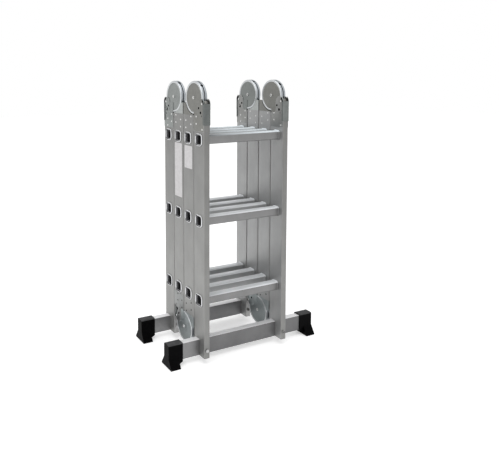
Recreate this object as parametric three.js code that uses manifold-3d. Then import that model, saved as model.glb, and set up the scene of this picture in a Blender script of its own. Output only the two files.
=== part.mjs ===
// Multi position ladder, standing folded on its two stabiliser bars.
// Four sections of three rungs are joined by three pairs of locking hinges:
// two pairs at the top, one pair at the bottom, so that the sections fold like a W.
// Millimetres. +X runs along the rungs, +Y to the rear, +Z up.
// The ladder is drawn midway between its stiles, over the bottom hinge axis, and is then
// moved so that the origin is on the floor at the middle of its whole footprint.
import * as THREE from "three";
import { mergeVertices } from "three/addons/utils/BufferGeometryUtils.js";
import Module from "manifold-3d";

const wasm = await Module();
wasm.setup();

// Clearance between pieces that touch on the real ladder
const GAP = 0.3;

// Stiles: hollow aluminium extrusions
const WIDTH_OVER_STILES = 350;
const STILE_THICKNESS = 21.5;
const STILE_DEPTH = 68;
const STILE_WALL = 1.6;
const STILE_CORNER = 3;
const SECTION_GAP = 4;
const STILE_FOOT_HEIGHT = 20;

// Rungs: hollow aluminium, flared over both faces of each stile
const RUNG_PITCH = 280;
const RUNGS_PER_SECTION = 3;
const LOWEST_RUNG_HEIGHT = 218;
const RUNG_DEPTH = 30;
const RUNG_HEIGHT = 32;
const RUNG_CORNER = 6;
const RUNG_WALL = 1.6;
const FLARE_LIP = 5.5;
const FLARE_THICKNESS = 3;
const BEAD_LIP = 2.5;
const BEAD_THICKNESS = 4;

// Hinges: a pair of disc shells on the locking side, a notched tongue on the other
const HINGE_OVER_TOP_RUNG = 142;
const HINGE_UNDER_BOTTOM_RUNG = 138;
const STILE_END_FROM_HINGE = 60;
const DISC_RADIUS = 57;
const DISC_EDGE_ROUND = 6;
const DISC_RIM_WALL = 3;
const SHELL_FACE_THICKNESS = 2.5;
const DISC_STEPS = 24;
const CORE_THICKNESS = 3.2;
const CORE_RADIUS = 48;
const NOTCH_DEPTH = 6;
const NOTCH_WIDTH = 8;
const NOTCH_ANGLES = [0, 35, 105, 180];
const SEAT_CLEARANCE = 1;
const HORN_TIP_BELOW_AXIS = 20;
const HORN_WALL = 2.5;
const LEG_THICKNESS = 3;
const LEG_LENGTH = 58;
const LEG_ROOT = 10;
const AXLE_RADIUS = 6;
const AXLE_HEAD_RADIUS = 8;
const AXLE_HEAD_THICKNESS = 1.4;

// Locking side: outer plates that run down the stile's faces and carry the release lever
const EAR_THICKNESS = 1;
const EAR_LENGTH_ON_STILE = 54;
const EAR_SHOULDER_HEIGHT = 10;
const LOBE_RADIUS = 19.5;
const LOBE_BELOW_AXIS = 22;
const LOBE_TO_STILE_EDGE = 1.5;
const PIVOT_BELOW_AXIS = 20;
const PIVOT_RADIUS = 3;
const SLOT_HOLE_RADIUS = 3.4;
const SLOT_HOLES = [
  [36, -35],
  [48, -50],
];

// Release levers: a channel round the stile's narrow edge with a pawl between the plates
const LEVER_WEB = 1.8;
const LEVER_WING_THICKNESS = 1.2;
const LEVER_WING_DEPTH = 8;
const LEVER_STAND_OFF = 0.4;
const TOP_LEVER = { length: 70, topAngle: 54, inset: 0, pivotToEdge: 13 };
const BOTTOM_LEVER = { length: 35, topAngle: 25, inset: 8, pivotToEdge: 6 };
const PAWL_THICKNESS = 2.6;
const PAWL_NOSE_RADIUS = 3.2;
const PAWL_CLEARANCE = 0.8;
const PAWL_NOSE_ANGLE = 45;
const PAWL_HUB_RADIUS = 5;

// Stabiliser bars, with a bolt through each stile and a rubber foot on each end
const BAR_LENGTH = 614;
const BAR_DEPTH = 25;
const BAR_HEIGHT = 57;
const BAR_WALL = 2;
const BAR_SETBACK = 33;
const BAR_SHIFT = 12;
const BOLT_RADIUS = 3.9;
const BOLT_HEAD_RADIUS = 6.5;
const BOLT_HEAD_THICKNESS = 4;
const FOOT_WALL = 4;
const FOOT_SLEEVE_LENGTH = 56;
const FOOT_BASE_LENGTH = 38;
const FOOT_BASE_DEPTH = 70;
const FOOT_FLARE_HEIGHT = 34;
const FOOT_TOP_ROUND = 4;

// Sizes that follow from the ones above
const SECTION_PITCH = STILE_DEPTH + SECTION_GAP;
const HALF_STILE = STILE_THICKNESS / 2;
const STILE_MID_X = WIDTH_OVER_STILES / 2 - HALF_STILE;
const HIGHEST_RUNG_HEIGHT = LOWEST_RUNG_HEIGHT + (RUNGS_PER_SECTION - 1) * RUNG_PITCH;
const TOP_HINGE_HEIGHT = HIGHEST_RUNG_HEIGHT + HINGE_OVER_TOP_RUNG;
const BOTTOM_HINGE_HEIGHT = LOWEST_RUNG_HEIGHT - HINGE_UNDER_BOTTOM_RUNG;
const HALF_CORE = CORE_THICKNESS / 2;
const SHELL_INNER = HALF_CORE + GAP;
const EAR_INNER = HALF_STILE + GAP;
const EAR_OUTER = EAR_INNER + EAR_THICKNESS;
const WING_INNER = EAR_OUTER + GAP;
const WING_OUTER = WING_INNER + LEVER_WING_THICKNESS;
const STILE_NEAR_EDGE = SECTION_GAP / 2;
const STILE_FAR_EDGE = STILE_NEAR_EDGE + STILE_DEPTH;
const STILE_END = -STILE_END_FROM_HINGE;
const BAR_BOTTOM = STILE_FOOT_HEIGHT;
const BAR_TOP = BAR_BOTTOM + BAR_HEIGHT;
const PAWL_NOSE_ORBIT = CORE_RADIUS + PAWL_CLEARANCE + PAWL_NOSE_RADIUS;

const ALUMINIUM = { color: 0xb4b4b2, metalness: 0.9, roughness: 0.42 };
const RUNG_ALUMINIUM = { color: 0xc6cacd, metalness: 0.9, roughness: 0.35 };
const ZINCED_STEEL = { color: 0x9aa09c, metalness: 0.85, roughness: 0.4 };
const BRIGHT_STEEL = { color: 0xc9cbca, metalness: 1, roughness: 0.28 };
const BLACK_RUBBER = { color: 0x141416, metalness: 0, roughness: 0.75 };

// Solid helpers

// A closed three.js geometry as a solid that can be joined and cut.
function solid(shape) {
  if (!shape.isBufferGeometry) return shape;
  const bare = shape.clone();
  bare.deleteAttribute("normal");
  bare.deleteAttribute("uv");
  const merged = mergeVertices(bare, 1e-4);
  const corners = merged.index.array;
  const kept = [];
  for (let i = 0; i < corners.length; i += 3) {
    const [a, b, c] = [corners[i], corners[i + 1], corners[i + 2]];
    if (a !== b && b !== c && a !== c) kept.push(a, b, c);
  }
  return new wasm.Manifold(
    new wasm.Mesh({
      numProp: 3,
      vertProperties: new Float32Array(merged.attributes.position.array),
      triVerts: new Uint32Array(kept),
    }),
  );
}

function join(first, ...others) {
  return others.reduce((sum, next) => sum.add(solid(next)), solid(first));
}

function cut(body, ...tools) {
  return tools.reduce((rest, tool) => rest.subtract(solid(tool)), solid(body));
}

function namedMesh(name, body, look) {
  const cutMesh = body.getMesh();
  const geometry = new THREE.BufferGeometry();
  geometry.setAttribute("position", new THREE.BufferAttribute(cutMesh.vertProperties, 3));
  geometry.setIndex(new THREE.BufferAttribute(cutMesh.triVerts, 1));
  const faceted = geometry.toNonIndexed();
  faceted.computeVertexNormals();
  const mesh = new THREE.Mesh(faceted, new THREE.MeshStandardMaterial(look));
  mesh.name = name;
  return mesh;
}

function box(x0, x1, y0, y1, z0, z1) {
  const geometry = new THREE.BoxGeometry(x1 - x0, y1 - y0, z1 - z0);
  return geometry.translate((x0 + x1) / 2, (y0 + y1) / 2, (z0 + z1) / 2);
}

// An outline in the XY plane, extruded from z0 to z1.
function slab(shape, z0, z1, curveSegments = 1) {
  const geometry = new THREE.ExtrudeGeometry(shape, {
    depth: z1 - z0,
    bevelEnabled: false,
    curveSegments,
  });
  return geometry.translate(0, 0, z0);
}

// A round bar along Z with its centre line at x, y.
function rod(x, y, radius, z0, z1, steps) {
  const geometry = new THREE.CylinderGeometry(radius, radius, z1 - z0, steps);
  return geometry.rotateX(Math.PI / 2).translate(x, y, (z0 + z1) / 2);
}

function polygon(points) {
  return new THREE.Shape(points.map(([x, y]) => new THREE.Vector2(x, y)));
}

// A rectangle with rounded corners, centred on the origin.
function roundedRectangle(width, height, corner, target = new THREE.Shape()) {
  const right = width / 2;
  const top = height / 2;
  target.moveTo(right - corner, -top);
  target.absarc(right - corner, -top + corner, corner, -Math.PI / 2, 0, false);
  target.absarc(right - corner, top - corner, corner, 0, Math.PI / 2, false);
  target.absarc(-right + corner, top - corner, corner, Math.PI / 2, Math.PI, false);
  target.absarc(-right + corner, -top + corner, corner, Math.PI, 1.5 * Math.PI, false);
  target.closePath();
  return target;
}

function arcPoints(x, y, radius, startDegrees, endDegrees, steps) {
  const points = [];
  for (let i = 0; i <= steps; i += 1) {
    const angle = THREE.MathUtils.degToRad(startDegrees + ((endDegrees - startDegrees) * i) / steps);
    points.push([x + radius * Math.cos(angle), y + radius * Math.sin(angle)]);
  }
  return points;
}

// Turns X to Y, Y to Z and Z to X: an outline drawn in the XY plane then lies
// in the vertical YZ plane and is extruded along X.
function alongX(geometry) {
  return geometry.rotateX(Math.PI / 2).rotateZ(Math.PI / 2);
}

// Rungs

function rungTube(extra, x0, x1) {
  const outline = roundedRectangle(RUNG_DEPTH + 2 * extra, RUNG_HEIGHT + 2 * extra, RUNG_CORNER + extra);
  return alongX(slab(outline, x0, x1));
}

function rungSolid() {
  const outer = WIDTH_OVER_STILES / 2 + GAP;
  const inner = WIDTH_OVER_STILES / 2 - STILE_THICKNESS - GAP;
  const end = outer + FLARE_THICKNESS;
  const body = join(
    rungTube(0, -end, end),
    rungTube(FLARE_LIP, outer, end),
    rungTube(FLARE_LIP, -end, -outer),
    rungTube(BEAD_LIP, inner - BEAD_THICKNESS, inner),
    rungTube(BEAD_LIP, -inner, -inner + BEAD_THICKNESS),
  );
  return cut(body, rungTube(-RUNG_WALL, -end - 1, end + 1));
}

// Stiles

function stileSolid(bottom, top, hasBar) {
  const outline = roundedRectangle(STILE_THICKNESS, STILE_DEPTH, STILE_CORNER);
  const bore = roundedRectangle(
    STILE_THICKNESS - 2 * STILE_WALL,
    STILE_DEPTH - 2 * STILE_WALL,
    STILE_CORNER - STILE_WALL,
    new THREE.Path(),
  );
  outline.holes.push(bore);
  const tube = slab(outline, bottom, top);
  const sockets = [];
  for (let i = 0; i < RUNGS_PER_SECTION; i += 1) {
    const socket = rungTube(GAP, -STILE_THICKNESS, STILE_THICKNESS);
    sockets.push(socket.translate(0, 0, LOWEST_RUNG_HEIGHT + i * RUNG_PITCH));
  }
  const body = cut(tube, ...sockets);
  if (!hasBar) return body;
  const barFront = -STILE_DEPTH / 2 + BAR_SETBACK;
  const barSlot = box(
    -STILE_THICKNESS,
    STILE_THICKNESS,
    barFront - GAP,
    barFront + BAR_DEPTH + GAP,
    bottom - 1,
    BAR_TOP + GAP,
  );
  const boltHole = boltRod(BOLT_RADIUS + GAP, -STILE_DEPTH, STILE_DEPTH);
  return cut(body, barSlot, boltHole);
}

// Stabiliser bars, their bolts and feet

// A rod along Y at the bolts' height.
function boltRod(radius, y0, y1, steps = 12) {
  const rodAlongZ = rod(0, 0, radius, -y1, -y0, steps);
  return rodAlongZ.rotateX(Math.PI / 2).translate(0, 0, (BAR_BOTTOM + BAR_TOP) / 2);
}

function barSolid() {
  const outer = box(-BAR_LENGTH / 2, BAR_LENGTH / 2, 0, BAR_DEPTH, BAR_BOTTOM, BAR_TOP);
  const bore = box(
    -BAR_LENGTH,
    BAR_LENGTH,
    BAR_WALL,
    BAR_DEPTH - BAR_WALL,
    BAR_BOTTOM + BAR_WALL,
    BAR_TOP - BAR_WALL,
  );
  const boltHoles = [-1, 1].map((side) =>
    boltRod(BOLT_RADIUS + GAP, -1, BAR_DEPTH + 1).translate(side * STILE_MID_X - BAR_SHIFT, 0, 0),
  );
  return cut(outer, bore, ...boltHoles);
}

function boltSolid() {
  const front = -STILE_DEPTH / 2 - GAP;
  const rear = STILE_DEPTH / 2 + GAP;
  return join(
    boltRod(BOLT_HEAD_RADIUS, front - BOLT_HEAD_THICKNESS, front),
    boltRod(BOLT_RADIUS, front - 1, rear + 1),
    boltRod(BOLT_HEAD_RADIUS, rear, rear + BOLT_HEAD_THICKNESS, 6),
  );
}

// A foot on the +X end of a bar. X is measured from the bar's end, Y from its mid plane.
function footSolid() {
  const halfSleeve = BAR_DEPTH / 2 + FOOT_WALL;
  const halfBase = FOOT_BASE_DEPTH / 2;
  const sleeveTop = BAR_TOP + FOOT_WALL;
  const sleeveBottom = BAR_BOTTOM - FOOT_WALL;
  const outerEnd = FOOT_WALL;
  const sleeve = polygon([
    [-halfSleeve, sleeveBottom],
    [halfSleeve, sleeveBottom],
    ...arcPoints(halfSleeve - FOOT_TOP_ROUND, sleeveTop - FOOT_TOP_ROUND, FOOT_TOP_ROUND, 0, 90, 2),
    ...arcPoints(FOOT_TOP_ROUND - halfSleeve, sleeveTop - FOOT_TOP_ROUND, FOOT_TOP_ROUND, 90, 180, 2),
  ]);
  const base = polygon([
    [-halfBase, 0],
    [halfBase, 0],
    [halfSleeve, FOOT_FLARE_HEIGHT],
    [-halfSleeve, FOOT_FLARE_HEIGHT],
  ]);
  const pocket = box(
    -FOOT_SLEEVE_LENGTH,
    GAP,
    -BAR_DEPTH / 2 - GAP,
    BAR_DEPTH / 2 + GAP,
    BAR_BOTTOM - GAP,
    BAR_TOP + GAP,
  );
  return cut(
    join(
      alongX(slab(sleeve, outerEnd - FOOT_SLEEVE_LENGTH, outerEnd)),
      alongX(slab(base, outerEnd - FOOT_BASE_LENGTH, outerEnd)),
    ),
    pocket,
  );
}

// Hinges. Each is drawn in its own plane: X runs from the hinge axis towards the locking
// side's stile, Y away from the stiles' ends, and Z across the stile's thickness.

// One of the two dished disc shells, without its ear.
function discShell() {
  const roundCentre = DISC_RADIUS - DISC_EDGE_ROUND;
  const faceInner = HALF_STILE - SHELL_FACE_THICKNESS;
  const bore = AXLE_RADIUS + GAP;
  const round = arcPoints(roundCentre, HALF_STILE - DISC_EDGE_ROUND, DISC_EDGE_ROUND, 0, 90, 2);
  const profile = [
    [bore, faceInner],
    [DISC_RADIUS - DISC_RIM_WALL, faceInner],
    [DISC_RADIUS - DISC_RIM_WALL, SHELL_INNER],
    [DISC_RADIUS, SHELL_INNER],
    ...round,
    [bore, HALF_STILE],
    [bore, faceInner],
  ];
  const geometry = new THREE.LatheGeometry(
    profile.map(([radius, height]) => new THREE.Vector2(radius, height)),
    DISC_STEPS,
  );
  return geometry.rotateX(Math.PI / 2);
}

// The plate of the locking side: disc shell, neck down to the stile's end, and ear.
// The lever's inset moves the lobe and the pivot in from the stile's far edge.
function lockPlate(lever) {
  const near = STILE_NEAR_EDGE + GAP;
  const far = STILE_FAR_EDGE - GAP;
  const lobeX = STILE_FAR_EDGE - lever.inset - LOBE_TO_STILE_EDGE - LOBE_RADIUS;
  const lobeY = -LOBE_BELOW_AXIS;
  const neckEnd = STILE_END + GAP;
  const lobe = arcPoints(lobeX, lobeY, LOBE_RADIUS, 0, 180, 8);
  const neck = polygon([
    [near, neckEnd],
    [lobeX + LOBE_RADIUS, neckEnd],
    ...lobe,
    [near, lobeY],
  ]);
  const ear = polygon([
    [near, STILE_END - EAR_LENGTH_ON_STILE],
    [far, STILE_END - EAR_LENGTH_ON_STILE],
    [far, neckEnd],
    [lobeX + LOBE_RADIUS, neckEnd],
    ...lobe,
    [lobeX - LOBE_RADIUS, STILE_END + EAR_SHOULDER_HEIGHT],
    [near, neckEnd],
  ]);
  const pivotX = STILE_FAR_EDGE - lever.inset - lever.pivotToEdge;
  const holes = [
    rod(0, 0, AXLE_RADIUS + GAP, 0, STILE_THICKNESS, 12),
    rod(pivotX, -PIVOT_BELOW_AXIS, PIVOT_RADIUS + GAP, 0, STILE_THICKNESS, 12),
    ...SLOT_HOLES.map(([x, y]) => rod(x, y, SLOT_HOLE_RADIUS, 0, STILE_THICKNESS, 8)),
  ];
  return cut(
    join(
      discShell(),
      slab(neck, HALF_STILE - SHELL_FACE_THICKNESS, EAR_INNER),
      slab(ear, EAR_INNER, EAR_OUTER),
    ),
    ...holes,
  );
}

// The other section's half: a notched core disc between the shells, a hollow horn as thick
// as the stile with a seat round the discs, and two legs inside the stile.
function tongueSolid() {
  const near = -STILE_NEAR_EDGE - GAP;
  const far = -STILE_FAR_EDGE + GAP;
  const hornEnd = STILE_END + GAP;
  const hornBlock = polygon([
    [far, hornEnd],
    [near, hornEnd],
    [near, -HORN_TIP_BELOW_AXIS],
    [far, -HORN_TIP_BELOW_AXIS],
  ]);
  const seatRadius = DISC_RADIUS + SEAT_CLEARANCE;
  const pocket = cut(
    box(
      far + HORN_WALL,
      near - HORN_WALL,
      hornEnd - HORN_WALL,
      -HORN_TIP_BELOW_AXIS,
      HORN_WALL - HALF_STILE,
      HALF_STILE - HORN_WALL,
    ),
    rod(0, 0, seatRadius + HORN_WALL, -STILE_THICKNESS, STILE_THICKNESS, DISC_STEPS),
  );
  const core = join(
    rod(0, 0, CORE_RADIUS, -HALF_CORE, HALF_CORE, DISC_STEPS),
    slab(hornBlock, -HALF_CORE, HALF_CORE),
  );
  const notches = NOTCH_ANGLES.map((angle) => {
    const notch = box(
      CORE_RADIUS - NOTCH_DEPTH,
      CORE_RADIUS + NOTCH_DEPTH,
      -NOTCH_WIDTH / 2,
      NOTCH_WIDTH / 2,
      -STILE_THICKNESS,
      STILE_THICKNESS,
    );
    return notch.rotateZ(THREE.MathUtils.degToRad(angle - PAWL_NOSE_ANGLE));
  });
  const legOuter = HALF_STILE - STILE_WALL - GAP;
  const legEdgeInset = STILE_CORNER + GAP;
  const legOutline = polygon([
    [-STILE_FAR_EDGE + legEdgeInset, STILE_END - LEG_LENGTH],
    [-STILE_NEAR_EDGE - legEdgeInset, STILE_END - LEG_LENGTH],
    [-STILE_NEAR_EDGE - legEdgeInset, hornEnd + LEG_ROOT],
    [-STILE_FAR_EDGE + legEdgeInset, hornEnd + LEG_ROOT],
  ]);
  const hornAndLegs = cut(
    join(
      cut(slab(hornBlock, -HALF_STILE, HALF_STILE), pocket),
      slab(legOutline, legOuter - LEG_THICKNESS, legOuter),
      slab(legOutline, -legOuter, LEG_THICKNESS - legOuter),
    ),
    rod(0, 0, seatRadius, -STILE_THICKNESS, STILE_THICKNESS, DISC_STEPS),
  );
  return cut(
    core.add(hornAndLegs),
    rod(0, 0, AXLE_RADIUS + GAP, -STILE_THICKNESS, STILE_THICKNESS, 12),
    ...notches,
  );
}

function axleSolid() {
  const headInner = HALF_STILE + GAP;
  const headOuter = headInner + AXLE_HEAD_THICKNESS;
  return join(
    rod(0, 0, AXLE_RADIUS, -headOuter, headOuter, 12),
    rod(0, 0, AXLE_HEAD_RADIUS, headInner, headOuter, 12),
    rod(0, 0, AXLE_HEAD_RADIUS, -headOuter, -headInner, 12),
  );
}

// The release lever: a channel that wraps the stile's edge and curves over the lobe,
// with its pivot pin, and a pawl that points at the core's notched rim.
function leverSolid(lever) {
  const lobeX = STILE_FAR_EDGE - lever.inset - LOBE_TO_STILE_EDGE - LOBE_RADIUS;
  const lobeY = -LOBE_BELOW_AXIS;
  const webInner = STILE_FAR_EDGE - lever.inset + LEVER_STAND_OFF - lobeX;
  const webOuter = webInner + LEVER_WEB;
  const pivotX = STILE_FAR_EDGE - lever.inset - lever.pivotToEdge;
  const pivotY = -PIVOT_BELOW_AXIS;
  const end = lobeY - lever.length;
  const channel = (innerRadius) =>
    polygon([
      [lobeX + innerRadius, end],
      [lobeX + webOuter, end],
      ...arcPoints(lobeX, lobeY, webOuter, 0, lever.topAngle, 4),
      ...arcPoints(lobeX, lobeY, innerRadius, lever.topAngle, 0, 4),
    ]);
  const wing = channel(webOuter - LEVER_WING_DEPTH);
  const tab = (z0, z1) => rod(pivotX, pivotY, PAWL_HUB_RADIUS, z0, z1, 12);
  const noseAngle = THREE.MathUtils.degToRad(-PAWL_NOSE_ANGLE);
  const noseX = PAWL_NOSE_ORBIT * Math.cos(noseAngle);
  const noseY = PAWL_NOSE_ORBIT * Math.sin(noseAngle);
  const along = new THREE.Vector2(pivotX - noseX, pivotY - noseY).normalize();
  const half = PAWL_THICKNESS / 2;
  const arm = polygon([
    [noseX - along.y * PAWL_NOSE_RADIUS, noseY + along.x * PAWL_NOSE_RADIUS],
    [noseX + along.y * PAWL_NOSE_RADIUS, noseY - along.x * PAWL_NOSE_RADIUS],
    [pivotX + along.y * PAWL_HUB_RADIUS, pivotY - along.x * PAWL_HUB_RADIUS],
    [pivotX - along.y * PAWL_HUB_RADIUS, pivotY + along.x * PAWL_HUB_RADIUS],
  ]);
  const webMid = webInner + LEVER_WEB / 2;
  const angleAt = (y) => THREE.MathUtils.radToDeg(Math.asin((y - lobeY) / webMid));
  const neck = polygon([
    [pivotX, pivotY - PAWL_HUB_RADIUS],
    ...arcPoints(lobeX, lobeY, webMid, angleAt(pivotY - PAWL_HUB_RADIUS), angleAt(pivotY), 2),
    [pivotX, pivotY + PAWL_HUB_RADIUS],
  ]);
  return join(
    slab(channel(webInner), -WING_OUTER, WING_OUTER),
    slab(wing, WING_INNER, WING_OUTER),
    slab(wing, -WING_OUTER, -WING_INNER),
    tab(WING_INNER, WING_OUTER),
    tab(-WING_OUTER, -WING_INNER),
    tab(-half, half),
    slab(neck, -half, half),
    slab(arm, -half, half),
    rod(noseX, noseY, PAWL_NOSE_RADIUS, -half, half, 10),
    rod(pivotX, pivotY, PIVOT_RADIUS, -WING_OUTER, WING_OUTER, 10),
  );
}

// Assembly

const ladder = new THREE.Group();
ladder.name = "multi_position_ladder";

const SIDES = [
  { name: "left", sign: -1 },
  { name: "right", sign: 1 },
];
const RUNG_NAMES = ["bottom", "middle", "top"];
const SECTIONS = [
  { name: "front_section", place: -1.5, hasBar: true },
  { name: "front_inner_section", place: -0.5, hasBar: false },
  { name: "rear_inner_section", place: 0.5, hasBar: false },
  { name: "rear_section", place: 1.5, hasBar: true },
];

function addBar(group, section) {
  const bar = new THREE.Group();
  bar.position.set(BAR_SHIFT, -STILE_DEPTH / 2 + BAR_SETBACK, 0);
  bar.add(namedMesh(`${section.name}_stabiliser_bar`, barSolid(), ALUMINIUM));
  for (const side of SIDES) {
    const foot = namedMesh(`${section.name}_${side.name}_foot`, footSolid(), BLACK_RUBBER);
    foot.position.set((side.sign * BAR_LENGTH) / 2, BAR_DEPTH / 2, 0);
    foot.scale.x = side.sign;
    bar.add(foot);
    const bolt = namedMesh(`${section.name}_${side.name}_bar_bolt`, boltSolid(), BRIGHT_STEEL);
    bolt.position.set(side.sign * STILE_MID_X, 0, 0);
    group.add(bolt);
  }
  group.add(bar);
}

function addSection(section) {
  const group = new THREE.Group();
  group.position.set(0, section.place * SECTION_PITCH, 0);
  const bottom = section.hasBar ? STILE_FOOT_HEIGHT : BOTTOM_HINGE_HEIGHT + STILE_END_FROM_HINGE;
  const top = TOP_HINGE_HEIGHT - STILE_END_FROM_HINGE;
  for (const side of SIDES) {
    const body = stileSolid(bottom, top, section.hasBar);
    const stile = namedMesh(`${section.name}_${side.name}_stile`, body, ALUMINIUM);
    stile.position.x = side.sign * STILE_MID_X;
    group.add(stile);
  }
  for (let i = 0; i < RUNGS_PER_SECTION; i += 1) {
    const rung = namedMesh(`${section.name}_${RUNG_NAMES[i]}_rung`, rungSolid(), RUNG_ALUMINIUM);
    rung.position.z = LOWEST_RUNG_HEIGHT + i * RUNG_PITCH;
    group.add(rung);
  }
  if (section.hasBar) addBar(group, section);
  ladder.add(group);
}

// lockSide is +1 where the locking side is to the rear of the axis. up is +1 at the top.
const HINGES = [
  {
    name: "front_top_hinge",
    y: -SECTION_PITCH,
    z: TOP_HINGE_HEIGHT,
    lockSide: -1,
    up: 1,
    lever: TOP_LEVER,
  },
  {
    name: "rear_top_hinge",
    y: SECTION_PITCH,
    z: TOP_HINGE_HEIGHT,
    lockSide: 1,
    up: 1,
    lever: TOP_LEVER,
  },
  {
    name: "bottom_hinge",
    y: 0,
    z: BOTTOM_HINGE_HEIGHT,
    lockSide: 1,
    up: -1,
    lever: BOTTOM_LEVER,
  },
];

function addHinge(hinge, side) {
  const group = new THREE.Group();
  group.matrixAutoUpdate = false;
  group.matrix.makeBasis(
    new THREE.Vector3(0, hinge.lockSide, 0),
    new THREE.Vector3(0, 0, hinge.up),
    new THREE.Vector3(side.sign, 0, 0),
  );
  group.matrix.setPosition(side.sign * STILE_MID_X, hinge.y, hinge.z);
  const prefix = `${hinge.name}_${side.name}`;
  const outer = namedMesh(`${prefix}_outer_plate`, lockPlate(hinge.lever), ZINCED_STEEL);
  const inner = namedMesh(`${prefix}_inner_plate`, lockPlate(hinge.lever), ZINCED_STEEL);
  inner.scale.z = -1;
  group.add(outer);
  group.add(inner);
  group.add(namedMesh(`${prefix}_tongue`, tongueSolid(), ZINCED_STEEL));
  group.add(namedMesh(`${prefix}_axle`, axleSolid(), BRIGHT_STEEL));
  group.add(namedMesh(`${prefix}_release_lever`, leverSolid(hinge.lever), ZINCED_STEEL));
  ladder.add(group);
}

for (const section of SECTIONS) addSection(section);
for (const hinge of HINGES) {
  for (const side of SIDES) addHinge(hinge, side);
}

const middle = new THREE.Box3().setFromObject(ladder).getCenter(new THREE.Vector3());
ladder.position.set(-middle.x, -middle.y, 0);

export default ladder;
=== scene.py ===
import math

import bmesh
import bpy
from mathutils import Matrix, Vector


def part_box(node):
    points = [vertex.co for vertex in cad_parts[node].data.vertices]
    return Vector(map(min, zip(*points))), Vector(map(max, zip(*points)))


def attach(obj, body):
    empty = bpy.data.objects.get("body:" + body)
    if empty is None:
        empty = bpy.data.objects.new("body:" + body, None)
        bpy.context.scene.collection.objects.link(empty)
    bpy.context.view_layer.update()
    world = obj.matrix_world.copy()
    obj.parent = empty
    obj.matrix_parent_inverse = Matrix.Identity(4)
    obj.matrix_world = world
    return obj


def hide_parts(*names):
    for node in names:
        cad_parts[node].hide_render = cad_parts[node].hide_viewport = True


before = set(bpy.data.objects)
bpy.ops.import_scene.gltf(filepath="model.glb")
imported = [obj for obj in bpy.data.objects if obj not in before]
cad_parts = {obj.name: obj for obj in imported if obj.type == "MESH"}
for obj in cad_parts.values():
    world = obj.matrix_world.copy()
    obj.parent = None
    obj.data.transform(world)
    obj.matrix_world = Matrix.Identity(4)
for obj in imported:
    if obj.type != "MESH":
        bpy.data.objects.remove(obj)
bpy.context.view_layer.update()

# Shapes are drawn in millimetres, and are scaled to metres and placed at the end.
MM = 0.001
TINY = 1e-6

# Edges that turn by more degrees than this stay sharp.
CREASE_ANGLE = 32

# Sizes shared by the pieces
GAP = 0.3
STILE_WALL = 1.6
STILE_CORNER = 1.5
STILE_INNER_CORNER = 0.5
RUNG_WIDTH = 30
RUNG_HEIGHT = 32
RUNG_CORNER = 6
RUNG_WALL = 1.6
FLARE_SIDE_STRETCH = 1.3
BAR_WALL = 2
BAR_CORNER = 1.2
BAR_INNER_CORNER = 0.6
BOLT_RADIUS = 3.9
BOLT_HEAD_RADIUS = 6.5
BOLT_HEAD_HEIGHT = 4

FOOT_WALL = 4
FOOT_CORNER = 4.5
FOOT_BASE_LENGTH = 38
FOOT_EDGE_HEIGHT = 4
FOOT_FLARE_HEIGHT = 34
GROOVE_PLACES = range(-28, 29, 8)
GROOVE_HALF_WIDTH = 1.5
GROOVE_DEPTH = 1.6

DISC_RADIUS = 57
DISC_FACE_RADIUS = 49.5
DISC_FACE_RECESS = 0.8
SHELL_THICKNESS = 2.5
SHELL_INNER = 1.8
AXLE_RADIUS = 6
STILE_END = -60
NECK_END = STILE_END + GAP
NEAR_EDGE = 2.3
FAR_EDGE = 69.7
EAR_INNER = 11.05
EAR_OUTER = 12.05
EAR_LENGTH = 54
EAR_FILLET = 16
LOBE_RADIUS = 19.5
LOBE_DROP = 22
LOBE_TO_EDGE = 1.2
PIVOT_DROP = 20
PIVOT_RADIUS = 3
NOTCH_RADIUS = 5.2
NOTCH_FLOOR_RADIUS = 50.5
NOTCH_LEAN = 1.2
PAWL_HALF_THICKNESS = 1.3
PAWL_NOSE_PLACE = 52
PAWL_NOSE_ANGLE = -45
PAWL_NOSE_RADIUS = 3.2
LEVER_STAND_OFF = 0.7
LEVER_WEB = 1.8
LEVER_WING = 8
LEVER_HALF_WIDTH = 13.55
LEVER_STEEL = 1.2
LEVER_CORNER = 4
LEVER_RADIUS = LOBE_RADIUS + LOBE_TO_EDGE + LEVER_STAND_OFF + LEVER_WEB

# Holes through the plates: round ones as X, Y and radius, and the spring's slot as X, Y,
# radius, its two angles and half its width
CUT_DEPTH = 20
PLATE_HOLES = ((36, -35, 4.1), (48, -50, 4.7))
SPRING_SLOT = (58, -52, 14, 118, 172, 1.9)

TOP_LEVER = {"length": 70, "top_angle": 54, "inset": 0, "pivot_to_edge": 13}
BOTTOM_LEVER = {"length": 35, "top_angle": 25, "inset": 8, "pivot_to_edge": 6}

SECTIONS = ("front_section", "front_inner_section", "rear_inner_section", "rear_section")
RUNGS = ("bottom", "middle", "top")
SIDES = {"left": -1, "right": 1}

# lock is +1 where the plates' side of the hinge is to the rear of its axis, up is +1 at the top.
HINGES = {
    "front_top_hinge": {
        "lock": -1, "up": 1, "lever": TOP_LEVER, "notch_angle": 46,
        "spring_slot": False, "small_hole": (55, -61.5, 2.5), "lever_body": "front_top",
        "lock_body": "front_section", "tongue_body": "front_inner_section",
    },
    "rear_top_hinge": {
        "lock": 1, "up": 1, "lever": TOP_LEVER, "notch_angle": 120,
        "spring_slot": True, "small_hole": (52, -64, 2.6), "lever_body": "rear_top",
        "lock_body": "rear_section", "tongue_body": "rear_inner_section",
    },
    "bottom_hinge": {
        "lock": 1, "up": -1, "lever": BOTTOM_LEVER, "notch_angle": 120,
        "spring_slot": True, "small_hole": (52, -64, 2.6), "lever_body": "bottom",
        "lock_body": "rear_inner_section", "tongue_body": "front_inner_section",
    },
}

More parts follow.
